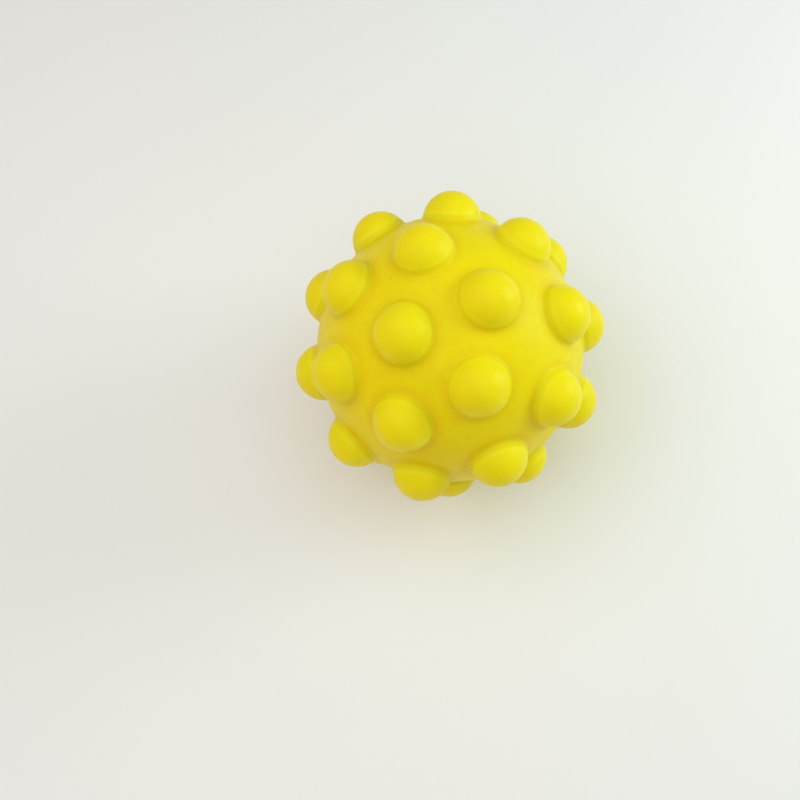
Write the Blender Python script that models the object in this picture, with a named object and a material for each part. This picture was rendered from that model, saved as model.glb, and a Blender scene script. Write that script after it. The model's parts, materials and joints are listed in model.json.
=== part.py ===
"""Pop fidget ball: a hollow rubber ball in two half shells, studded with round bubbles that pop in and out.

Metres, +Z up. The origin is the ball's centre. The layout is worked out about the ball's own pole axis,
and the finished ball then leans until the bubble at its lower pole and two of the next ring touch the ground.
Run it with blender --background --python part.py, or from the Text Editor.
"""

import math

import bmesh
import bpy
from mathutils import Matrix, Vector

# Ball
BODY_RADIUS = 0.0317
BODY_WALL = 0.003

# Bubbles: each is a thin round dome that stands in a window of its half shell
BUBBLE_RADIUS = 0.00685
BUBBLE_WALL = 0.0013
CROWN_RISE = 0.0058
FOLD_DROP = 0.0051
LIP_DEPTH = 0.0004
LIP_TAPER = 0.0005
CLEARANCE = 0.0003

# Foot: the hollow flare round each bubble, where the half shell rises to meet it
FOOT_REACH = 0.0011
FOOT_LIP = 0.00015
FOOT_BURY = 0.0003
FOOT_ROOT = 0.0006

# Layout on each half: one bubble at the pole, an inner ring and an outer ring, which line up at one azimuth
INNER_COUNT = 6
OUTER_COUNT = 10
RING_START = math.radians(120.0)

# Seam: the upper half's tongue stands in the lower half's rebate, with a low straight band along both edges
BAND_HEIGHT = 0.0032
BAND_RISE = 0.0001
TONGUE_DEPTH = 0.0016
TONGUE_THICKNESS = 0.0014

# Facets
BODY_SIDES = 36
OUTSIDE_BANDS = 9
INSIDE_BANDS = 6
BUBBLE_SIDES = 16
DOME_BANDS = 4
DOME_INSIDE_BANDS = 2
FOOT_BANDS = 2
SHARP_ANGLE = math.radians(35.0)
WELD = 1e-7

# Derived levels, measured from the ball's centre along a bubble's own axis, and radii about that axis
CROWN_LEVEL = BODY_RADIUS + CROWN_RISE
DOME_CENTRE = CROWN_LEVEL - BUBBLE_RADIUS
FOLD_LEVEL = CROWN_LEVEL - FOLD_DROP
FOLD_ANGLE = math.acos((FOLD_LEVEL - DOME_CENTRE) / BUBBLE_RADIUS)
FOLD_RADIUS = BUBBLE_RADIUS * math.sin(FOLD_ANGLE)
WINDOW_RADIUS = FOLD_RADIUS + CLEARANCE
HOLLOW_RADIUS = BUBBLE_RADIUS - BUBBLE_WALL
INSIDE_RADIUS = BODY_RADIUS - BODY_WALL
SEAM_HALF_GAP = CLEARANCE / 2

# Five equal steps lead from pole to pole over the inner and the outer ring of both halves
RING_STEP = math.pi / 5

# The lean that sets the lower pole's bubble and its two neighbours on the ground together
REST_LEAN = math.atan(math.tan(RING_STEP / 2) / math.cos(math.pi / INNER_COUNT))


def clear_scene():
    for obj in list(bpy.data.objects):
        bpy.data.objects.remove(obj, do_unlink=True)


def silicone(name, colour, roughness):
    """A Principled material for one moulded silicone piece."""
    material = bpy.data.materials.new(name)
    material.use_nodes = True
    shader = material.node_tree.nodes["Principled BSDF"]
    shader.inputs["Base Color"].default_value = (*colour, 1.0)
    shader.inputs["Roughness"].default_value = roughness
    shader.inputs["Metallic"].default_value = 0.0
    return material


def arc(radius, start, end, bands, centre=0.0):
    """Points (distance from the axis, height) on an arc, with its angles counted from the axis."""
    angles = [start + (end - start) * i / bands for i in range(bands + 1)]
    return [(radius * math.sin(a), centre + radius * math.cos(a)) for a in angles]


def turned(bm, profile, sides, matrix=None):
    """Turns a closed outline of (distance from the axis, height) round Z into a solid, and places it."""
    verts = [bm.verts.new((x, 0.0, z)) for x, z in profile]
    edges = [bm.edges.new(pair) for pair in zip(verts, verts[1:])]
    if profile[0][0] > WELD or profile[-1][0] > WELD:
        edges.append(bm.edges.new((verts[-1], verts[0])))
    made = set(bm.verts)
    bmesh.ops.spin(
        bm,
        geom=verts + edges,
        cent=(0.0, 0.0, 0.0),
        axis=(0.0, 0.0, 1.0),
        angle=2 * math.pi,
        steps=sides,
        use_merge=True,
    )
    ring = verts + [v for v in bm.verts if v not in made]
    bmesh.ops.remove_doubles(bm, verts=ring, dist=WELD)
    ring = [v for v in ring if v.is_valid]
    if matrix is not None:
        bmesh.ops.transform(bm, matrix=matrix, verts=ring)


def finished_mesh(name, bm):
    bmesh.ops.recalc_face_normals(bm, faces=bm.faces)
    mesh = bpy.data.meshes.new(name)
    bm.to_mesh(mesh)
    bm.free()
    mesh.shade_smooth()
    mesh.set_sharp_from_angle(angle=SHARP_ANGLE)
    return mesh


def new_object(name, mesh, parent, material=None):
    obj = bpy.data.objects.new(name, mesh)
    bpy.context.scene.collection.objects.link(obj)
    obj.parent = parent
    if material is not None and not mesh.materials:
        mesh.materials.append(material)
    return obj


def direction(polar, azimuth):
    return Vector((
        math.sin(polar) * math.cos(azimuth),
        math.sin(polar) * math.sin(azimuth),
        math.cos(polar),
    ))


def half_layout(half):
    """(name, direction) of each bubble on one half; half is 1 for the upper half and -1 for the lower one."""
    side = "upper" if half > 0 else "lower"
    places = [(f"{side}_pole_bubble", direction(0.0, 0.0))]
    rings = (("inner", INNER_COUNT, RING_STEP), ("outer", OUTER_COUNT, 2 * RING_STEP))
    for ring, count, polar in rings:
        for i in range(count):
            azimuth = RING_START + 2 * math.pi * i / count
            places.append((f"{side}_{ring}_bubble_{i + 1}", direction(polar, azimuth)))
    return [(name, Vector((v.x, v.y, half * v.z))) for name, v in places]


def along(axis):
    """Turns +Z to a bubble's outward axis."""
    return axis.to_track_quat("Z", "Y").to_matrix().to_4x4()


def bubble_profile():
    """The dome's section about its fold circle, from the crown down the outside and back up the inside."""
    outside = arc(BUBBLE_RADIUS, 0.0, FOLD_ANGLE, DOME_BANDS, DOME_CENTRE - FOLD_LEVEL)
    hollow_angle = math.acos(min(1.0, (FOLD_LEVEL - DOME_CENTRE) / HOLLOW_RADIUS))
    hollow = arc(HOLLOW_RADIUS, hollow_angle, 0.0, DOME_INSIDE_BANDS, DOME_CENTRE - FOLD_LEVEL)
    lip = [(FOLD_RADIUS - LIP_TAPER, -LIP_DEPTH)]
    return outside + lip + hollow


def foot_profile():
    """A solid blank for the flare: a hollow quarter curve from the window's lip out to the body's surface."""
    top = WINDOW_RADIUS + FOOT_LIP
    reach = WINDOW_RADIUS + FOOT_REACH
    end = math.sqrt(BODY_RADIUS ** 2 - reach ** 2) - FOOT_BURY
    curve = []
    for i in range(FOOT_BANDS + 1):
        turn = math.pi / 2 * i / FOOT_BANDS
        out = reach - (reach - top) * math.cos(turn)
        curve.append((out, FOLD_LEVEL - (FOLD_LEVEL - end) * math.sin(turn)))
    root = end - FOOT_ROOT
    return [(0.0, FOLD_LEVEL)] + curve + [(reach, root), (0.0, root)]


def window_profile():
    """A plug as wide as the window, which runs past both faces of the wall."""
    top = CROWN_LEVEL
    bottom = INSIDE_RADIUS * math.cos(math.asin(WINDOW_RADIUS / INSIDE_RADIUS)) - BODY_WALL
    return [(0.0, top), (WINDOW_RADIUS, top), (WINDOW_RADIUS, bottom), (0.0, bottom)]


def shell_profile(tongue):
    """The section of a half whose pole is at +Z: outer face, seam band, tongue or rebate, and inner face."""
    outside = arc(BODY_RADIUS, 0.0, math.acos(BAND_HEIGHT / BODY_RADIUS), OUTSIDE_BANDS)
    band = [(BODY_RADIUS + BAND_RISE, BAND_HEIGHT), (BODY_RADIUS + BAND_RISE, SEAM_HALF_GAP)]
    lap = INSIDE_RADIUS + TONGUE_THICKNESS
    if tongue:
        inside_edge = 0.0
        joint = [(lap, SEAM_HALF_GAP), (lap, -TONGUE_DEPTH), (INSIDE_RADIUS, -TONGUE_DEPTH)]
    else:
        inside_edge = TONGUE_DEPTH + CLEARANCE
        joint = [(lap + CLEARANCE, SEAM_HALF_GAP), (lap + CLEARANCE, inside_edge)]
    inside = arc(INSIDE_RADIUS, math.acos(inside_edge / INSIDE_RADIUS), 0.0, INSIDE_BANDS)
    return outside + band + joint + inside


def guide(name, profile, places, parent):
    """One object with the same turned blank at each place. It shapes a shell and isn't part of the model."""
    bm = bmesh.new()
    for _, axis in places:
        turned(bm, profile, BUBBLE_SIDES, along(axis))
    obj = new_object(name, finished_mesh(name, bm), parent)
    obj.hide_render = True
    obj.display_type = "WIRE"
    return obj


def boolean(obj, operation, other):
    modifier = obj.modifiers.new(operation.title(), "BOOLEAN")
    modifier.operation = operation
    modifier.object = other
    modifier.use_self = True


def half_shell(name, half, material, parent):
    """One half of the ball, with a flared foot round every window."""
    bm = bmesh.new()
    flip = Matrix.Diagonal((1.0, 1.0, float(half), 1.0))
    turned(bm, shell_profile(half > 0), BODY_SIDES, flip)
    shell = new_object(name, finished_mesh(name, bm), parent, material)
    places = half_layout(half)
    boolean(shell, "UNION", guide(f"{name}_foot_blanks", foot_profile(), places, parent))
    boolean(shell, "DIFFERENCE", guide(f"{name}_window_cutters", window_profile(), places, parent))


def bubbles(half, mesh, material, parent):
    """Each origin is the centre of the fold circle. The bubble pops in from there, along its own axis to the
    ball's centre, by twice the height of its crown over the fold."""
    for name, axis in half_layout(half):
        obj = new_object(name, mesh, parent, material)
        obj.location = axis * FOLD_LEVEL
        obj.rotation_euler = along(axis).to_euler()


def build():
    clear_scene()
    stance = bpy.data.objects.new("stance", None)
    bpy.context.scene.collection.objects.link(stance)
    stance.empty_display_size = BODY_RADIUS
    stance.rotation_euler = (REST_LEAN, 0.0, 0.0)

    shell_silicone = silicone("shell_silicone", (0.85, 0.70, 0.02), 0.5)
    bubble_silicone = silicone("bubble_silicone", (0.86, 0.72, 0.022), 0.48)
    half_shell("upper_shell", 1, shell_silicone, stance)
    half_shell("lower_shell", -1, shell_silicone, stance)

    bm = bmesh.new()
    turned(bm, bubble_profile(), BUBBLE_SIDES)
    bubble_mesh = finished_mesh("bubble", bm)
    bubbles(1, bubble_mesh, bubble_silicone, stance)
    bubbles(-1, bubble_mesh, bubble_silicone, stance)
    bpy.context.view_layer.update()


build()
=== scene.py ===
"""Pop fidget ball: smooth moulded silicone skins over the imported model, with a plain floor and soft light.

Metres, +Z up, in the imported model's own frame. Each bubble's place comes from its joint: the bubble slides
along the joint's axis to the ball's centre, so it points the other way.
"""

import json
import math

import bmesh
import bpy
import numpy as np
from bpy.props import FloatProperty, FloatVectorProperty, IntProperty, PointerProperty
from bpy.types import Operator, Panel, PropertyGroup
from mathutils import Matrix, Vector

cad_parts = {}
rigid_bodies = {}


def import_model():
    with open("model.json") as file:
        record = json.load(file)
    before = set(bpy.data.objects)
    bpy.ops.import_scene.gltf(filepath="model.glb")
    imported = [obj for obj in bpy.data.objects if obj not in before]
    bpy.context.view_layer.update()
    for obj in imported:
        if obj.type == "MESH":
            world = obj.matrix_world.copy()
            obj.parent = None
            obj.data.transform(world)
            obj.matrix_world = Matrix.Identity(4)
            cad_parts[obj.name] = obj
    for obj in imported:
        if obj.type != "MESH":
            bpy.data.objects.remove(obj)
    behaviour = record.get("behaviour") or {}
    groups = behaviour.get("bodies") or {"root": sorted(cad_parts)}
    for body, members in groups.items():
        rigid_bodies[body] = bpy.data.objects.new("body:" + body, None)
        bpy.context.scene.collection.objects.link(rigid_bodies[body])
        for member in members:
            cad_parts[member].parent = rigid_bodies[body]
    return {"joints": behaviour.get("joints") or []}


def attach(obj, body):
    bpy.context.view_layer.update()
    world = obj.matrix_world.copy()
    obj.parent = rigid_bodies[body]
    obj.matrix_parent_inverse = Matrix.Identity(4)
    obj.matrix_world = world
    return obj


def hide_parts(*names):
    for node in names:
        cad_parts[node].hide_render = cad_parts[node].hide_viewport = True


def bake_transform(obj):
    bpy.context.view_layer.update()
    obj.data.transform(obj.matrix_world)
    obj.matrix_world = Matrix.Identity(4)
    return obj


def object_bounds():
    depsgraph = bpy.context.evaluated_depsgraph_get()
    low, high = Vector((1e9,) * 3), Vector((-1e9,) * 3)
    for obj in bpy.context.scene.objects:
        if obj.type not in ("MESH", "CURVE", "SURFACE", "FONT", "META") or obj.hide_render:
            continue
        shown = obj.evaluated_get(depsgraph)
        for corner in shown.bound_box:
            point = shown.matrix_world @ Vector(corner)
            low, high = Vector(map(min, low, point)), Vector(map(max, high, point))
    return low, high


bl_info = {
    "name": "Pop Fidget Ball",
    "version": (1, 0, 0),
    "blender": (4, 5, 0),
    "location": "3D View > Sidebar > Pop Ball",
    "description": "Builds the silicone skins of a pop fidget ball over its packed model, and a plain stage",
    "category": "Add Mesh",
}

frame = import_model()
CAD_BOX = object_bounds()

# Each bubble's own axis, out from the ball's centre
AXES = {j["child"]: -np.array(j["axis"], float) / np.linalg.norm(j["axis"]) for j in frame["joints"]}
POLE = AXES["upper_pole_bubble"]
BODY = frame["joints"][0]["parent"]

# Points closer than the weld are merged, and the tiny value keeps divisions finite
WELD = 2e-6
TINY = 1e-9

# An axis whose Z part is larger than this counts as upright
UPRIGHT = 0.9

# Edges of the shells that turn by more than this stay sharp
SHARP_ANGLE = math.radians(50)

# Dome: extra rows this far along the arc above the fold line, and below it the steps, as shares of a move
# in and down, that hide the edge inside the window
FOLD_ROWS = np.array([0.00006, 0.00002])
TUCK_SHARES = np.array([0.03, 0.1, 0.25, 0.5, 0.75, 1.0])
TUCK_IN = 0.0005
TUCK_DOWN = 0.0009

# The dome's wall has this share of its thickness at its edge, and grows from just under the fold line to
# just under the crown
EDGE_SHARE = 0.3
GROWTH_START = 0.0002
GROWTH_END = 0.001

# Painted light: how strong it is at a fold line and how far it reaches, and how much lighter the domes are
# painted all over. Wear: how far down from the crown they are rubbed smooth
PAINTED_LIGHT_STRENGTH = 0.6
PAINTED_LIGHT_REACH = 0.0016
DOME_PAINTED_LIGHT = 0.28
RUBBED_DEPTH = 0.0035

# Foot: its top row lies just under the fold line, then come the rows of its wall and of its hollow
FOOT_START = 0.00001
FOOT_WALL_ROWS = 5
FOOT_HOLLOW_ROWS = 11

# The window's wall: rows this far over the inner face, and this far under the fold line
WALL_OVER = 0.0005
WALL_UNDER = (0.0006, 0.00016)

# Rows from the border to the window on the inner face, and from the foot to the border on the outer face
INNER_ROWS = 6
OUTER_ROWS = 15

# Border of a bubble's cell: the angle between its points, the fewest points of a stretch, a nudge that
# rounds both neighbours' counts alike, and the directions that are tried in search of its corners
BORDER_STEP = math.radians(0.9)
FEWEST_POINTS = 3
ROUND_NUDGE = 0.01
SEARCH_STEPS = 3600

# Band: how softly it runs out into the body, the least flat part that its line is divided by, and the rise
# over the body where a foot stops following it
BAND_SOFTNESS = 0.000012
LEAST_FLAT = 0.2
FOLLOW_START = 0.0002
FOLLOW_END = 0.0009

# Seam: the height at which its rounded lip begins, the lip's points as steps in from the band and up from
# the crease, and the digits to which angles round the pole are matched
LIP_HEIGHT = 0.00042
LIP_STEPS = ((0.00004, 0.00017), (0.0001, 0.00007), (0.0002, 0.00002), (0.0003, 0.0))
TURN_DIGITS = 7

# The pattern of the bubbles is moved, so that it doesn't repeat the shells'
SHELL_SHIFT = (0.0, 0.0, 0.0)
BUBBLE_SHIFT = (0.31, 0.17, 0.05)

# Camera: its own axes, its focal length as a multiple of the picture's width, and how far the picture is
# moved from its middle
CAMERA_RIGHT = Vector((0.7585, 0.6447, -0.0939))
CAMERA_UP = Vector((-0.5715, 0.7277, 0.3793))
CAMERA_BACK = CAMERA_RIGHT.cross(CAMERA_UP).normalized()
SENSOR_WIDTH = 36.0
FOCAL_WIDTHS = 1.15025
PICTURE_SHIFT = (-0.0630, -0.0643)

# Lights: name, direction along the camera's right, up and back axes, size and colour
LIGHT_DISTANCE = 0.45
LIGHTS = (
    ("key", (0.90, 0.34, 0.27), 0.26, (0.84, 1.0, 0.95)),
    ("fill", (-0.10, 0.30, 0.95), 0.80, (0.895, 1.0, 0.94)),
    ("left", (-0.75, 0.30, 0.60), 0.50, (1.0, 0.78, 0.70)),
    ("low", (-0.30, -0.78, 0.55), 0.50, (1.0, 0.45, 0.36)),
)
SKY_COLOUR = (1.0, 0.94, 0.92, 1.0)

# Floor: the radii of its rings, and the points round each
FLOOR_RADII = np.array([0.1, 0.4, 1.2])
FLOOR_COLUMNS = 96


class BallSizes(PropertyGroup):
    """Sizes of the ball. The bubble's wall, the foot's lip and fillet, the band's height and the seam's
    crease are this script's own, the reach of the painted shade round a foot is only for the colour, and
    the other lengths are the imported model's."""

    body_radius: FloatProperty(
        name="Body Radius", description="Outside radius of the body between the bubbles",
        default=0.0317, min=0.005, subtype="DISTANCE", unit="LENGTH", precision=5)
    body_wall: FloatProperty(
        name="Body Wall", description="Wall thickness of the half shells",
        default=0.003, min=0.0005, subtype="DISTANCE", unit="LENGTH", precision=5)
    bubble_radius: FloatProperty(
        name="Bubble Radius", description="Outside radius of a bubble's dome",
        default=0.00685, min=0.001, subtype="DISTANCE", unit="LENGTH", precision=5)
    bubble_wall: FloatProperty(
        name="Bubble Wall", description="Wall thickness at a bubble's crown",
        default=0.0011, min=0.0001, subtype="DISTANCE", unit="LENGTH", precision=5)
    crown_rise: FloatProperty(
        name="Crown Rise", description="How far a bubble's crown stands out of the body",
        default=0.0058, min=0.0005, subtype="DISTANCE", unit="LENGTH", precision=5)
    fold_drop: FloatProperty(
        name="Fold Drop", description="From the crown down to the fold line, where the dome bends",
        default=0.0051, min=0.0005, subtype="DISTANCE", unit="LENGTH", precision=5)
    lip: FloatProperty(
        name="Foot Lip", description="How far a foot's lip reaches into the dome's skin at the fold line",
        default=0.00004, min=0.00001, subtype="DISTANCE", unit="LENGTH", precision=5)
    fillet: FloatProperty(
        name="Foot Fillet", description="Radius of the hollow where a foot meets the body",
        default=0.0012, min=0.0002, subtype="DISTANCE", unit="LENGTH", precision=5)
    # Reach of the painted shade round a foot's root, where the hollow lies in shade
    painted_shade_reach: FloatProperty(
        name="Ring Reach", description="How far the deeper colour spreads from a foot's root",
        default=0.0027, min=0.0001, subtype="DISTANCE", unit="LENGTH", precision=5)
    band_height: FloatProperty(
        name="Band Height", description="From the seam to where its straight band runs out into the body",
        default=0.0058, min=0.0005, subtype="DISTANCE", unit="LENGTH", precision=5)
    band_rise: FloatProperty(
        name="Band Rise", description="How far the band stands out of the body's radius",
        default=0.0001, min=0.0, subtype="DISTANCE", unit="LENGTH", precision=5)
    seam_gap: FloatProperty(
        name="Seam Gap", description="Crease between the two half shells",
        default=0.00008, min=0.0, subtype="DISTANCE", unit="LENGTH", precision=5)
    tongue_depth: FloatProperty(
        name="Tongue Depth", description="How far the upper half's tongue reaches into the lower half",
        default=0.0016, min=0.0, subtype="DISTANCE", unit="LENGTH", precision=5)
    tongue_thickness: FloatProperty(
        name="Tongue Thickness", description="Thickness of the tongue",
        default=0.0014, min=0.0, subtype="DISTANCE", unit="LENGTH", precision=5)
    clearance: FloatProperty(
        name="Clearance", description="Gap between the tongue and the lower half's rebate",
        default=0.0003, min=0.0, subtype="DISTANCE", unit="LENGTH", precision=5)
    columns: IntProperty(
        name="Columns", description="Points round each bubble's dome",
        default=96, min=16, subtype="UNSIGNED")
    rows: IntProperty(
        name="Rows", description="Points from a dome's crown to its fold line",
        default=26, min=6, subtype="UNSIGNED")


class BallColours(PropertyGroup):
    """Colours and finish of the silicone and the floor."""

    silicone: FloatVectorProperty(
        name="Silicone", description="The silicone's own yellow",
        default=(0.86, 0.715, 0.004), size=3, min=0.0, max=1.0, subtype="COLOR")
    # Deep yellow: the silicone's own cloudy tone, and also painted shade round each foot's root and in the
    # seam's crease
    deep_and_shade: FloatVectorProperty(
        name="Deep Yellow", description="Where the colour gathers, and in the folds",
        default=(0.76, 0.52, 0.004), size=3, min=0.0, max=1.0, subtype="COLOR")
    # Painted light: a paler yellow that lightens the domes all over, and most at their fold lines
    pale: FloatVectorProperty(
        name="Pale Yellow", description="The thin silicone at a fold line",
        default=(0.95, 0.80, 0.012), size=3, min=0.0, max=1.0, subtype="COLOR")
    speck: FloatVectorProperty(
        name="Speck", description="Dust specks and mould marks",
        default=(0.50, 0.38, 0.02), size=3, min=0.0, max=1.0, subtype="COLOR")
    roughness: FloatProperty(
        name="Roughness", description="Roughness of the satin surface",
        default=0.40, min=0.0, max=1.0, subtype="FACTOR")
    floor: FloatVectorProperty(
        name="Floor", description="The plain floor",
        default=(0.86, 0.86, 0.86), size=3, min=0.0, max=1.0, subtype="COLOR")


class BallStage(PropertyGroup):
    """The camera's distance and the strength of the lights."""

    distance: FloatProperty(
        name="Camera Distance", description="From the camera to the ball's centre",
        default=0.2212, min=0.05, subtype="DISTANCE", unit="LENGTH", precision=4)
    key: FloatProperty(
        name="Key Light", description="Power of the soft light from the side",
        default=0.97, min=0.0, unit="POWER")
    fill: FloatProperty(
        name="Fill Light", description="Power of the broad light from above",
        default=1.63, min=0.0, unit="POWER")
    left: FloatProperty(
        name="Left Light", description="Power of the weak light from the left",
        default=0.43, min=0.0, unit="POWER")
    low: FloatProperty(
        name="Low Light", description="Power of the weak warm light from low down",
        default=0.16, min=0.0, unit="POWER")
    sky: FloatProperty(
        name="Sky", description="Strength of the even pale light all round",
        default=0.335, min=0.0, subtype="UNSIGNED")


def levels(sizes):
    """(fold level, dome's centre, fold radius, fold angle) along a bubble's axis, from the ball's centre."""
    crown = sizes.body_radius + sizes.crown_rise
    centre = crown - sizes.bubble_radius
    fold = crown - sizes.fold_drop
    angle = math.acos((fold - centre) / sizes.bubble_radius)
    return fold, centre, sizes.bubble_radius * math.sin(angle), angle


def side_axes(axis):
    """Two directions square to an axis, so that (first, second, axis) turn like (x, y, z). The first is
    square to +Z too, or to +X where the axis is upright."""
    helper = [0.0, 0.0, 1.0] if abs(axis[2]) < UPRIGHT else [1.0, 0.0, 0.0]
    first = np.cross(helper, axis)
    first /= np.linalg.norm(first)
    return first, np.cross(axis, first)


def spokes(axis, count):
    """Directions square to an axis, at even angles round it: cos(turn) * first + sin(turn) * second."""
    first, second = side_axes(axis)
    turn = np.linspace(0.0, 2 * np.pi, count, endpoint=False)[:, None]
    return np.cos(turn) * first + np.sin(turn) * second


def between(a, b, share):
    """Directions on the great circle from a to b: the angle between them is shared out evenly."""
    angle = np.arccos(np.clip((a * b).sum(-1, keepdims=True), -1.0, 1.0))
    angle = np.maximum(angle, TINY)
    return (np.sin((1 - share) * angle) * a + np.sin(share * angle) * b) / np.sin(angle)


def smooth(low, high, value):
    """0 below low, 1 above high, and an S curve between them."""
    t = np.clip((value - low) / (high - low), 0.0, 1.0)
    return t * t * (3 - 2 * t)


def grid_faces(rows, columns, first=0):
    """Quads of a grid that closes on itself along its columns, numbered row by row."""
    row, column = np.meshgrid(np.arange(rows - 1), np.arange(columns), indexing="ij")
    start, end = row * columns, (row + 1) * columns
    after = (column + 1) % columns
    quads = np.stack((start + column, start + after, end + after, end + column), axis=-1)
    return quads.reshape(-1, 4) + first


def cap_faces(centre, columns):
    """Triangles from a centre point to the first row of a grid."""
    ring = np.arange(columns)
    return np.stack((np.full_like(ring, centre), ring, (ring + 1) % columns), axis=-1)


def linked(name, data):
    """A new object in the scene, in place of an older one of the same name."""
    old = bpy.data.objects.get(name)
    if old is not None:
        bpy.data.objects.remove(old, do_unlink=True)
    obj = bpy.data.objects.new(name, data)
    bpy.context.scene.collection.objects.link(obj)
    return obj


def new_piece(name, points, faces, material, attributes):
    """One mesh object from arrays, with its doubles merged and its faces turned outwards."""
    mesh = bpy.data.meshes.new(name)
    mesh.from_pydata(points.tolist(), [], faces)
    for key, values in attributes.items():
        mesh.attributes.new(key, "FLOAT", "POINT").data.foreach_set("value", values.astype(np.float32))
    bm = bmesh.new()
    bm.from_mesh(mesh)
    bmesh.ops.remove_doubles(bm, verts=bm.verts, dist=WELD)
    bmesh.ops.recalc_face_normals(bm, faces=bm.faces)
    bm.to_mesh(mesh)
    bm.free()
    mesh.shade_smooth()
    mesh.materials.append(material)
    return linked(name, mesh)


def dome_section(sizes):
    """(distance from the axis, height from the ball's centre) from the crown down.

    The dome is an arc about its own centre, with its rows set close at the fold line, which keeps the
    shading true there. Below the fold line it turns a little inwards and down, so that its edge lies hidden
    inside the window.
    """
    fold, centre, fold_radius, fold_angle = levels(sizes)
    angle = np.linspace(0.0, fold_angle, sizes.rows)[1:]
    near = fold_angle - FOLD_ROWS / sizes.bubble_radius
    angle = np.sort(np.concatenate((angle, near)))
    radius = sizes.bubble_radius * np.sin(angle)
    height = centre + sizes.bubble_radius * np.cos(angle)
    radius = np.concatenate((radius, fold_radius - TUCK_IN * TUCK_SHARES))
    height = np.concatenate((height, fold - TUCK_DOWN * TUCK_SHARES))
    return radius, height


def foot_section(sizes):
    """(distance from the axis, height) down the foot, and the root ring's place.

    The foot carries the dome's own curve on from the fold line, and then turns out to the body in an arc
    that touches both: its centre lies one fillet off the dome and off the body. Its lip ends just inside
    the dome's skin, so that no gap shows at the fold line.
    """
    fold, centre, fold_radius, _ = levels(sizes)
    wall, body, fillet = sizes.bubble_radius, sizes.body_radius, sizes.fillet
    height = ((body + fillet) ** 2 - (wall + fillet) ** 2 + centre ** 2) / (2 * centre)
    out = math.sqrt((body + fillet) ** 2 - height ** 2)
    start = math.acos((fold - FOOT_START - centre) / wall)
    end = math.atan2(out, height - centre)
    angle = np.linspace(start, end, FOOT_WALL_ROWS)
    curve = np.column_stack((wall * np.sin(angle), centre + wall * np.cos(angle)))
    first = math.atan2(centre - height, -out)
    last = math.atan2(-height, -out)
    turn = np.linspace(first, last, FOOT_HOLLOW_ROWS)[1:]
    hollow = np.column_stack((out + fillet * np.cos(turn), height + fillet * np.sin(turn)))
    middle = (first + last) / 2
    root = (out + fillet * math.cos(middle), height + fillet * math.sin(middle))
    lip = (fold_radius - sizes.lip, fold + sizes.lip / 2)
    return np.vstack((lip, curve, hollow)), root


def painted_shade_and_light(points, axis, sizes):
    """Painted shade in a ring round a bubble's foot, less painted light at its fold line.

    ring = 1 at the foot's root, down to 0 at the ring's reach over the body and at a quarter of it up the
    foot. pale = the painted light's strength at the fold line, down to 0 at its reach.
    """
    fold, _, fold_radius, _ = levels(sizes)
    root = foot_section(sizes)[1]
    along = points @ axis
    off_axis = np.linalg.norm(points - along[..., None] * axis, axis=-1)
    # Painted shade: darkest at the foot's root, where the hollow lies in shade
    away = np.hypot(off_axis - root[0], along - root[1])
    reach = np.where(along > root[1], sizes.painted_shade_reach / 4, sizes.painted_shade_reach)
    # Painted light: lighter at the fold line, whose steep sides the lamps leave dim
    from_fold = np.hypot(off_axis - fold_radius, along - fold)
    pale = PAINTED_LIGHT_STRENGTH * (1 - smooth(0.0, PAINTED_LIGHT_REACH, from_fold))
    return 1 - smooth(0.0, reach, away) - pale


def thicken(piece, axis, sizes):
    """Gives a dome its wall, inwards from the skin: full at the crown, and thin below the fold line."""
    fold, centre, _, _ = levels(sizes)
    crown = centre + sizes.bubble_radius
    flat = np.empty(len(piece.data.vertices) * 3)
    piece.data.vertices.foreach_get("co", flat)
    height = flat.reshape(-1, 3) @ axis
    share = EDGE_SHARE + (1 - EDGE_SHARE) * smooth(fold - GROWTH_START, crown - GROWTH_END, height)
    share = np.round(share, 2)
    group = piece.vertex_groups.new(name="wall")
    for value in np.unique(share).tolist():
        group.add(np.nonzero(share == value)[0].tolist(), value, "REPLACE")
    wall = piece.modifiers.new("Wall", "SOLIDIFY")
    wall.thickness = sizes.bubble_wall
    wall.offset = -1.0
    wall.vertex_group = group.name


def dome_skin(name, axis, sizes, material):
    """One bubble: its section turned round its own axis, point = axis * height + side * radius."""
    radius, height = dome_section(sizes)
    side = spokes(axis, sizes.columns)
    points = height[:, None, None] * axis + radius[:, None, None] * side[None]
    crown = levels(sizes)[1] + sizes.bubble_radius
    points = np.vstack((points.reshape(-1, 3), axis * crown))
    faces = cap_faces(len(points) - 1, sizes.columns).tolist()
    faces += grid_faces(len(radius), sizes.columns).tolist()
    # "fold" here is painted light: a little all over the dome and most at its fold line; "worn" marks the
    # crown's rubbed patch
    attributes = {
        "fold": np.minimum(painted_shade_and_light(points, axis, sizes), 0.0) - DOME_PAINTED_LIGHT,
        "worn": smooth(crown - RUBBED_DEPTH, crown, points @ axis),
    }
    piece = new_piece(name + "_skin", points, faces, material, attributes)
    thicken(piece, axis, sizes)
    return piece


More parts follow.
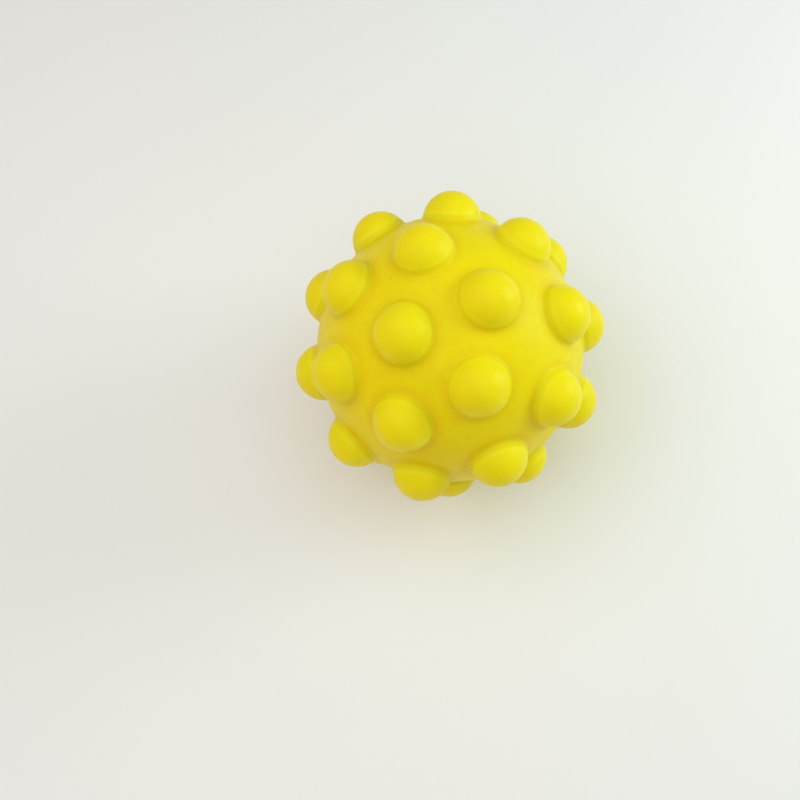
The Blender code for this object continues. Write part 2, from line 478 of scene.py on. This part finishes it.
def cell_border(site, others, seam_sine):
    """The border of one bubble's cell on the unit sphere, as directions in order round the bubble, and
    whether each of them lies on the seam.

    The cell is what lies nearer this bubble than any other, and above the seam. Each stretch of border is
    shared out evenly from corner to corner, so that the neighbour's stretch has the same points.
    """
    side = spokes(site, SEARCH_STEPS)
    dots = side @ others.T
    reach = np.where(dots > TINY, np.arctan2(1 - others @ site, np.maximum(dots, TINY)), np.pi)
    size = np.hypot(site[2], side[:, 2])
    seam = np.arctan2(side[:, 2], site[2]) + np.arccos(np.clip(seam_sine / size, -1.0, 1.0))
    wall = np.column_stack((reach, seam)).argmin(axis=1)
    changes = np.nonzero(wall != np.roll(wall, 1))[0]
    corners = [corner(site, others, seam_sine, wall[c - 1], wall[c]) for c in changes]
    border, on_seam = [], []
    for i, change in enumerate(changes):
        start, end = corners[i], corners[(i + 1) % len(corners)]
        is_seam = wall[change] == len(others)
        if is_seam:
            a, b = np.arctan2(start[1], start[0]), np.arctan2(end[1], end[0])
            b = a + (b - a + np.pi) % (2 * np.pi) - np.pi
            around = np.linspace(a, b, point_count(abs(b - a)), endpoint=False)
            flat = math.sqrt(1 - seam_sine ** 2)
            level = np.full_like(around, seam_sine)
            part = np.column_stack((flat * np.cos(around), flat * np.sin(around), level))
        else:
            angle = math.acos(float(np.clip(start @ end, -1, 1)))
            share = np.linspace(0.0, 1.0, point_count(angle), endpoint=False)[:, None]
            part = between(start[None], end[None], share)
        border.append(part)
        on_seam.append(np.full(len(part), is_seam))
    return np.vstack(border), np.concatenate(on_seam)


def point_count(angle):
    """How many points a stretch of border gets for its angle."""
    return max(FEWEST_POINTS, round(angle / BORDER_STEP + ROUND_NUDGE))


def corner(site, others, seam_sine, a, b):
    """Where two walls of a cell meet: square to both (site - other), or on the seam's circle."""
    walls = [site - others[k] for k in (a, b) if k < len(others)]
    if len(walls) == 2:
        point = np.cross(walls[0], walls[1])
        point /= np.linalg.norm(point)
        return point if point @ site > 0 else -point
    first, second = side_axes(walls[0] / np.linalg.norm(walls[0]))
    size = math.hypot(first[2], second[2])
    lean = math.atan2(second[2], first[2])
    swing = math.acos(seam_sine / size)
    found = [math.cos(lean + s * swing) * first + math.sin(lean + s * swing) * second for s in (-1, 1)]
    return max(found, key=lambda p: float(p @ site))


def band_slope(sizes):
    """How far the seam's straight band leans in for each step of its height."""
    top = math.sqrt(sizes.body_radius ** 2 - sizes.band_height ** 2)
    return (sizes.body_radius + sizes.band_rise - top) / sizes.band_height


def with_band(points, sizes):
    """The points of the outer face, with the straight band along the seam worked in.

    The band is a cone from just outside the body's radius at the seam to the body's own curve at the band's
    height: line = band / (flat + slope * rise), where flat and rise are the direction's parts square to the
    pole axis and along it. Up to where the line comes nearest the centre, the surface moves by line - body.
    Beyond that it only moves inwards, by the soft bend -soft * ln(1 + exp(-(line - body) / soft)). A foot's
    root moves with the body, and its top stays where it is.
    """
    radius = np.linalg.norm(points, axis=-1)
    heading = points / radius[..., None]
    body, slope = sizes.body_radius, band_slope(sizes)
    flat, rise = np.hypot(heading[..., 0], heading[..., 1]), heading[..., 2]
    shift = (body + sizes.band_rise) / (np.maximum(flat, LEAST_FLAT) + slope * rise) - body
    beyond = np.arctan2(rise, flat) > math.atan(slope)
    inward = -BAND_SOFTNESS * np.logaddexp(0.0, -shift / BAND_SOFTNESS)
    shift = np.where(beyond, inward, shift)
    radius = radius + shift * (1 - smooth(body + FOLLOW_START, body + FOLLOW_END, radius))
    return heading * radius[..., None]


def seam_joint(half, sizes):
    """The section of the tongue or of its rebate as (distance from the pole axis, height) points, and the
    angle over the seam at which the inner face begins."""
    inside = sizes.body_radius - sizes.body_wall
    lap = inside + sizes.tongue_thickness
    if half > 0:
        level = 0.0
        joint = [(lap, sizes.seam_gap / 2), (lap, -sizes.tongue_depth), (inside, -sizes.tongue_depth)]
    else:
        level = sizes.tongue_depth + sizes.clearance
        joint = [(lap + sizes.clearance, sizes.seam_gap / 2), (lap + sizes.clearance, level)]
    start = math.asin(level / inside)
    return joint + [(inside * math.cos(start), level)], start


def window_patch(site, border, seam_sine, inner_start, sizes):
    """The part of a half shell round one window, as rows of points, each once round the bubble.

    The rows run from the border over the inner face to the window, up the window's wall, down the hollow
    foot, and over the outer face back to the border. On the inner face the border's angles over the seam are
    stretched evenly to the angle at which that face begins.
    """
    inside = sizes.body_radius - sizes.body_wall
    fold, _, fold_radius, _ = levels(sizes)
    window = fold_radius - sizes.lip
    low = math.sqrt(inside ** 2 - window ** 2)
    heights = (low, low + WALL_OVER, fold - WALL_UNDER[0], fold - WALL_UNDER[1])
    section = np.vstack(([(window, height) for height in heights], foot_section(sizes)[0]))

    square = border - (border @ site)[:, None] * site
    side = square / np.linalg.norm(square, axis=1, keepdims=True)
    around = np.arctan2(border[:, 1], border[:, 0])
    outer_start = math.asin(seam_sine)
    latitude = np.arcsin(np.clip(border[:, 2], -1, 1))
    latitude = inner_start + (latitude - outer_start) * (np.pi / 2 - inner_start) / (np.pi / 2 - outer_start)
    inner = np.column_stack(
        (np.cos(latitude) * np.cos(around), np.cos(latitude) * np.sin(around), np.sin(latitude)))
    hole = (site * low + side * window) / inside
    share = np.linspace(0.0, 1.0, INNER_ROWS)[:-1, None, None]
    inner_rows = inside * between(inner[None], hole[None], share)

    turned = section[:, 1, None, None] * site + section[:, 0, None, None] * side[None]
    edge = turned[-1] / np.linalg.norm(turned[-1], axis=1, keepdims=True)
    share = np.linspace(0.0, 1.0, OUTER_ROWS)[1:, None, None]
    outer_rows = between(edge[None], border[None], share) * sizes.body_radius
    # The wall, the lip and the first row of the foot stay clear of the band
    fixed = len(heights) + 2
    top_rows = with_band(np.concatenate((turned[fixed:], outer_rows)), sizes)
    return np.concatenate((inner_rows, turned[:fixed], top_rows))


def seam_ring(rim, half, sizes):
    """Rows of points that carry the seam's section round the pole at the rim's own angles, and each row's
    painted shade: from 0 on the band to 1 in the crease."""
    turn = np.arctan2(rim[:, 1], rim[:, 0])
    turn = np.unique(np.round(turn % (2 * np.pi), TURN_DIGITS))
    circle = np.column_stack((np.cos(turn), np.sin(turn), np.zeros_like(turn)))
    band, gap = sizes.body_radius + sizes.band_rise, sizes.seam_gap / 2
    lean = band / (band + band_slope(sizes) * LIP_HEIGHT)
    lip = [(band * lean, LIP_HEIGHT * lean)] + [(band - inward, gap + up) for inward, up in LIP_STEPS]
    section = np.array(lip + seam_joint(half, sizes)[0])
    rows = section[:, 0, None, None] * circle[None]
    rows = rows + section[:, 1, None, None] * np.array([0.0, 0.0, 1.0])
    # Painted shade: deeper into the crease, darker
    crease_shade = np.clip((band - section[:, 0]) / LIP_STEPS[-1][0], 0.0, 1.0)
    return rows, np.repeat(crease_shade, len(turn))


def shell_skin(name, half, sizes, material):
    """One half shell: a patch round each window, and a ring that carries the seam's section round the pole.
    Both are made with the half's pole at +Z, and then turned to their place."""
    first, second = side_axes(POLE)
    turned = np.array([first, second, POLE * half])
    side = name.split("_")[0]
    sites = np.array([turned @ axis for key, axis in AXES.items() if key.startswith(side)])
    seam_sine = LIP_HEIGHT / math.hypot(LIP_HEIGHT, sizes.body_radius + sizes.band_rise)
    inner_start = seam_joint(half, sizes)[1]
    points, faces, shades, rim, count = [], [], [], [], 0
    for i, site in enumerate(sites):
        border, on_seam = cell_border(site, np.delete(sites, i, axis=0), seam_sine)
        rows = window_patch(site, border, seam_sine, inner_start, sizes)
        points.append(rows.reshape(-1, 3))
        shades.append(painted_shade_and_light(rows, site, sizes).reshape(-1))
        faces.append(grid_faces(len(rows), len(border), count))
        count += rows.shape[0] * rows.shape[1]
        # The point after a stretch on the seam is the stretch's own end
        ends = np.nonzero(on_seam & ~np.roll(on_seam, -1))[0]
        rim += [rows[-1][on_seam], rows[-1][(ends + 1) % len(border)]]
    rows, shade = seam_ring(np.vstack(rim), half, sizes)
    points.append(rows.reshape(-1, 3))
    shades.append(shade)
    faces.append(grid_faces(rows.shape[0], rows.shape[1], count))
    shades = np.concatenate(shades)
    # "fold" holds the painted shade round each foot's root and in the seam's crease, less the painted light
    # at the fold lines
    attributes = {"fold": shades, "worn": np.zeros_like(shades)}
    piece = new_piece(
        name + "_skin", np.vstack(points) @ turned, np.vstack(faces).tolist(), material, attributes)
    piece.data.set_sharp_from_angle(angle=SHARP_ANGLE)
    return piece


def node(tree, kind, place, **values):
    """A node with its settings; keys that name an input set that input."""
    made = tree.nodes.new(kind)
    made.location = (place[0] * 190, place[1] * 170)
    for key, value in values.items():
        if key in made.inputs:
            made.inputs[key].default_value = value
        else:
            setattr(made, key, value)
    return made


def texture(tree, kind, place, at, **values):
    """A texture or mapping node, fed with coordinates."""
    made = node(tree, kind, place, **values)
    tree.links.new(at, made.inputs["Vector"])
    return made


def ramp(tree, place, factor, low, high, start=0.0, end=1.0):
    """Map Range from low..high to start..end, fed by a factor output."""
    limits = {"From Min": low, "From Max": high, "To Min": start, "To Max": end}
    made = node(tree, "ShaderNodeMapRange", place, **limits)
    tree.links.new(factor, made.inputs["Value"])
    return made.outputs["Result"]


def mix(tree, place, factor, a, b):
    """A colour mix by a factor output, where a and b are colours or outputs."""
    made = node(tree, "ShaderNodeMix", place, data_type="RGBA")
    tree.links.new(factor, made.inputs[0])
    for socket, value in ((made.inputs[6], a), (made.inputs[7], b)):
        if isinstance(value, bpy.types.NodeSocket):
            tree.links.new(value, socket)
        else:
            socket.default_value = (*value, 1.0)
    return made.outputs[2]


def math_node(tree, place, kind, a, b):
    """A Math node, where a and b are numbers or outputs."""
    made = node(tree, "ShaderNodeMath", place, operation=kind)
    for socket, value in zip(made.inputs, (a, b)):
        if isinstance(value, (int, float)):
            socket.default_value = value
        else:
            tree.links.new(value, socket)
    return made.outputs[0]


def silicone_material(name, colours, shift):
    """Satin moulded silicone: cloudy colour, fine grain, sparse specks and hairline scratches, with painted
    shade round the feet and in the seam's crease, and painted light on the domes and at the fold lines.
    shift moves the patterns, so that the pieces don't repeat each other."""
    material = bpy.data.materials.new(name)
    material.use_nodes = True
    tree = material.node_tree
    shader = tree.nodes["Principled BSDF"]
    shader.location = (1500, 0)
    tree.nodes["Material Output"].location = (1800, 0)
    links = tree.links
    place = node(tree, "ShaderNodeTexCoord", (-4, 0)).outputs["Object"]
    at = texture(tree, "ShaderNodeMapping", (-3, 0), place, Location=shift).outputs["Vector"]
    # fold: painted shade where above 0, painted light where below 0
    fold = node(tree, "ShaderNodeAttribute", (-2, 4), attribute_name="fold").outputs["Fac"]
    worn = node(tree, "ShaderNodeAttribute", (-2, 5), attribute_name="worn").outputs["Fac"]
    noise = "ShaderNodeTexNoise"
    cloud = texture(tree, noise, (-2, 2), at, Scale=55.0, Detail=3.0, Roughness=0.5).outputs["Fac"]
    mottle = texture(tree, noise, (-2, 1), at, Scale=420.0, Detail=4.0, Roughness=0.6).outputs["Fac"]
    grain = texture(tree, noise, (-2, 0), at, Scale=5200.0, Detail=2.0, Roughness=0.6).outputs["Fac"]

    # Clouds hold up to 16 % of the deep yellow, and the finer mottle up to 20 %
    cloudy = ramp(tree, (-1, 2), cloud, 0.35, 0.7, 0.0, 0.16)
    yellow = mix(tree, (0, 2), cloudy, colours.silicone, colours.deep_and_shade)
    mottled = ramp(tree, (0, 1), mottle, 0.38, 0.72, 0.0, 0.20)
    yellow = mix(tree, (1, 2), mottled, yellow, colours.deep_and_shade)

    # Painted shade: the ring round a foot and the seam's crease take 30 to 56 % of the deep yellow. Painted
    # light: the domes, and most of all the skin at the fold lines, turn paler
    painted_shade_strength = ramp(tree, (-1, 4), cloud, 0.35, 0.65, 0.30, 0.56)
    ring = math_node(tree, (1, 3), "MULTIPLY", ramp(tree, (0, 3), fold, 0.0, 1.0), painted_shade_strength)
    yellow = mix(tree, (2, 2), ring, yellow, colours.deep_and_shade)
    yellow = mix(tree, (2, 3), ramp(tree, (1, 4), fold, 0.0, -1.0), yellow, colours.pale)

    # Specks: about one cell in twenty holds a dot round its centre, up to 0.4 mm in radius
    dots = texture(tree, "ShaderNodeTexVoronoi", (-2, -1), at, feature="F1", Scale=480.0, Randomness=1.0)
    parts = node(tree, "ShaderNodeSeparateColor", (-1, -2))
    links.new(dots.outputs["Color"], parts.inputs["Color"])
    some = ramp(tree, (0, -2), parts.outputs["Red"], 0.955, 1.0, 0.0, 0.20)
    spot = math_node(tree, (1, -1), "SUBTRACT", some, dots.outputs["Distance"])
    spot = ramp(tree, (2, -1), spot, 0.0, 0.06, 0.0, 0.45)
    yellow = mix(tree, (3, 2), spot, yellow, colours.speck)
    links.new(yellow, shader.inputs["Base Color"])

    # Scratches: the peaks of a noise that is drawn out in one direction
    drawn = texture(
        tree, "ShaderNodeMapping", (-3, -4), at, Rotation=(0.4, 0.9, 0.3), Scale=(30.0, 1500.0, 160.0))
    drawn = drawn.outputs["Vector"]
    scratch = texture(tree, noise, (-2, -4), drawn, Scale=1.0, Detail=1.0, Roughness=0.4).outputs["Fac"]
    line = ramp(tree, (-1, -4), scratch, 0.70, 0.76)

    # Roughness follows the mottle, less where the crown is rubbed smooth and more along a scratch
    rough = ramp(tree, (0, 0), mottle, 0.3, 0.75, colours.roughness - 0.045, colours.roughness + 0.06)
    rough = math_node(tree, (1, 0), "SUBTRACT", rough, math_node(tree, (0, 5), "MULTIPLY", worn, 0.05))
    rough = math_node(tree, (2, 0), "ADD", rough, math_node(tree, (1, 5), "MULTIPLY", line, 0.05))
    links.new(rough, shader.inputs["Roughness"])

    # Relief: fine grain, low waves, and nicks at the specks and scratches
    nicks = math_node(tree, (2, -3), "ADD", line, math_node(tree, (1, -3), "MULTIPLY", spot, 2.0))
    bump = node(tree, "ShaderNodeBump", (1, -4), Strength=0.30, Distance=0.00002)
    wave = node(tree, "ShaderNodeBump", (2, -4), Strength=0.35, Distance=0.00006)
    nick = node(tree, "ShaderNodeBump", (3, -4), Strength=0.5, Distance=0.00003, invert=True)
    for made, height in ((bump, grain), (wave, mottle), (nick, nicks)):
        links.new(height, made.inputs["Height"])
    links.new(bump.outputs["Normal"], wave.inputs["Normal"])
    links.new(wave.outputs["Normal"], nick.inputs["Normal"])
    links.new(nick.outputs["Normal"], shader.inputs["Normal"])

    shader.inputs["Metallic"].default_value = 0.0
    shader.inputs["IOR"].default_value = 1.41
    shader.inputs["Specular IOR Level"].default_value = 0.22
    shader.inputs["Specular Tint"].default_value = (1.0, 1.0, 0.5, 1.0)
    shader.inputs["Subsurface Weight"].default_value = 0.22
    shader.inputs["Subsurface Radius"].default_value = (1.0, 0.62, 0.10)
    shader.inputs["Subsurface Scale"].default_value = 0.0016
    return material


def finish_material(name, shift):
    """The material of that name, made the first time that it is asked for."""
    return bpy.data.materials.get(name) or silicone_material(name, bpy.context.scene.pop_ball_colours, shift)


def floor_material(colours):
    """Plain paint, with a trace of cloud in its colour."""
    material = bpy.data.materials.new("floor_paint")
    material.use_nodes = True
    tree = material.node_tree
    shader = tree.nodes["Principled BSDF"]
    place = node(tree, "ShaderNodeTexCoord", (-4, 0)).outputs["Object"]
    cloud = texture(tree, "ShaderNodeTexNoise", (-3, 0), place, Scale=30.0, Detail=3.0).outputs["Fac"]
    darker = tuple(c * 0.9 for c in colours.floor)
    paint = mix(tree, (-1, 0), ramp(tree, (-2, 0), cloud, 0.3, 0.7, 0.0, 0.03), tuple(colours.floor), darker)
    tree.links.new(paint, shader.inputs["Base Color"])
    shader.inputs["Roughness"].default_value = 0.85
    return material


def floor_piece(ground, colours):
    """A wide round floor: rings of points at even angles, flat at the ground's height."""
    turn = np.linspace(0.0, 2 * np.pi, FLOOR_COLUMNS, endpoint=False)
    radius = FLOOR_RADII[:, None]
    level = np.full((len(radius), FLOOR_COLUMNS), ground)
    rings = np.stack((radius * np.cos(turn), radius * np.sin(turn), level), axis=-1)
    points = np.vstack((rings.reshape(-1, 3), (0.0, 0.0, ground)))
    faces = cap_faces(len(points) - 1, FLOOR_COLUMNS).tolist()
    faces += grid_faces(len(radius), FLOOR_COLUMNS).tolist()
    mesh = bpy.data.meshes.new("floor")
    mesh.from_pydata(points.tolist(), [], faces)
    mesh.materials.append(floor_material(colours))
    floor = linked("floor", mesh)
    return floor


def soft_light(name, toward, size, power, colour):
    """A round area light in the given direction from the ball's centre, aimed back at it."""
    data = bpy.data.lights.new(name, "AREA")
    data.shape = "DISK"
    data.size = size
    data.energy = power
    data.color = colour
    light = linked(name, data)
    light.location = toward.normalized() * LIGHT_DISTANCE
    light.rotation_euler = toward.to_track_quat("Z", "Y").to_euler()
    return light


class POPBALL_OT_shells(Operator):
    """Builds the two half shells with a hollow foot round every window and the band along the seam"""

    bl_idname = "pop_ball.shells"
    bl_label = "Half Shells"

    def execute(self, context):
        sizes = context.scene.pop_ball_sizes
        material = finish_material("satin_shell", SHELL_SHIFT)
        for name, half in (("upper_shell", 1), ("lower_shell", -1)):
            piece = shell_skin(name, half, sizes, material)
            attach(piece, BODY)
            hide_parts(name)
        return {"FINISHED"}


class POPBALL_OT_bubbles(Operator):
    """Builds the bubbles, each a thin dome above its fold line, with a wall that thins below it"""

    bl_idname = "pop_ball.bubbles"
    bl_label = "Bubbles"

    def execute(self, context):
        sizes = context.scene.pop_ball_sizes
        material = finish_material("satin_bubble", BUBBLE_SHIFT)
        for name, axis in AXES.items():
            piece = dome_skin(name, axis, sizes, material)
            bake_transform(piece)
            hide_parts(name)
        return {"FINISHED"}


class POPBALL_OT_stage(Operator):
    """Sets the plain pale floor, the soft light and the camera"""

    bl_idname = "pop_ball.stage"
    bl_label = "Stage"

    def execute(self, context):
        scene = context.scene
        stage = scene.pop_ball_stage
        floor_piece(CAD_BOX[0].z, scene.pop_ball_colours)
        for name, (right, up, back), size, colour in LIGHTS:
            toward = CAMERA_RIGHT * right + CAMERA_UP * up + CAMERA_BACK * back
            soft_light(name + "_light", toward, size, getattr(stage, name), colour)
        world = bpy.data.worlds.new("pale_studio")
        world.use_nodes = True
        sky = world.node_tree.nodes["Background"]
        sky.inputs["Color"].default_value = SKY_COLOUR
        sky.inputs["Strength"].default_value = stage.sky
        scene.world = world
        scene.view_settings.view_transform = "Standard"
        data = bpy.data.cameras.new("photo_camera")
        data.sensor_width = SENSOR_WIDTH
        data.lens = SENSOR_WIDTH * FOCAL_WIDTHS
        data.shift_x, data.shift_y = PICTURE_SHIFT
        data.clip_start = 0.01
        data.clip_end = 10.0
        camera = linked("photo_camera", data)
        turn = Matrix((CAMERA_RIGHT, CAMERA_UP, CAMERA_BACK)).transposed()
        camera.matrix_world = Matrix.Translation(CAMERA_BACK * stage.distance) @ turn.to_4x4()
        scene.camera = camera
        return {"FINISHED"}


class POPBALL_PT_panel(Panel):
    """Sizes, colours and the buttons that build the pieces"""

    bl_idname = "POPBALL_PT_panel"
    bl_label = "Pop Fidget Ball"
    bl_space_type = "VIEW_3D"
    bl_region_type = "UI"
    bl_category = "Pop Ball"

    def draw(self, context):
        column = self.layout.column()
        for name, group in GROUPS:
            for key in group.__annotations__:
                column.prop(getattr(context.scene, name), key)
            column.separator()
        for operator in OPERATORS:
            column.operator(operator.bl_idname)


GROUPS = (("pop_ball_sizes", BallSizes), ("pop_ball_colours", BallColours), ("pop_ball_stage", BallStage))
OPERATORS = (POPBALL_OT_shells, POPBALL_OT_bubbles, POPBALL_OT_stage)
CLASSES = tuple(group for _, group in GROUPS) + OPERATORS + (POPBALL_PT_panel,)


def register():
    for cls in CLASSES:
        bpy.utils.register_class(cls)
    for name, group in GROUPS:
        setattr(bpy.types.Scene, name, PointerProperty(type=group))


def unregister():
    for name, _ in GROUPS:
        delattr(bpy.types.Scene, name)
    for cls in reversed(CLASSES):
        bpy.utils.unregister_class(cls)


def main():
    register()
    bpy.ops.pop_ball.shells()
    bpy.ops.pop_ball.bubbles()
    bpy.ops.pop_ball.stage()


if __name__ == "__main__":
    main()
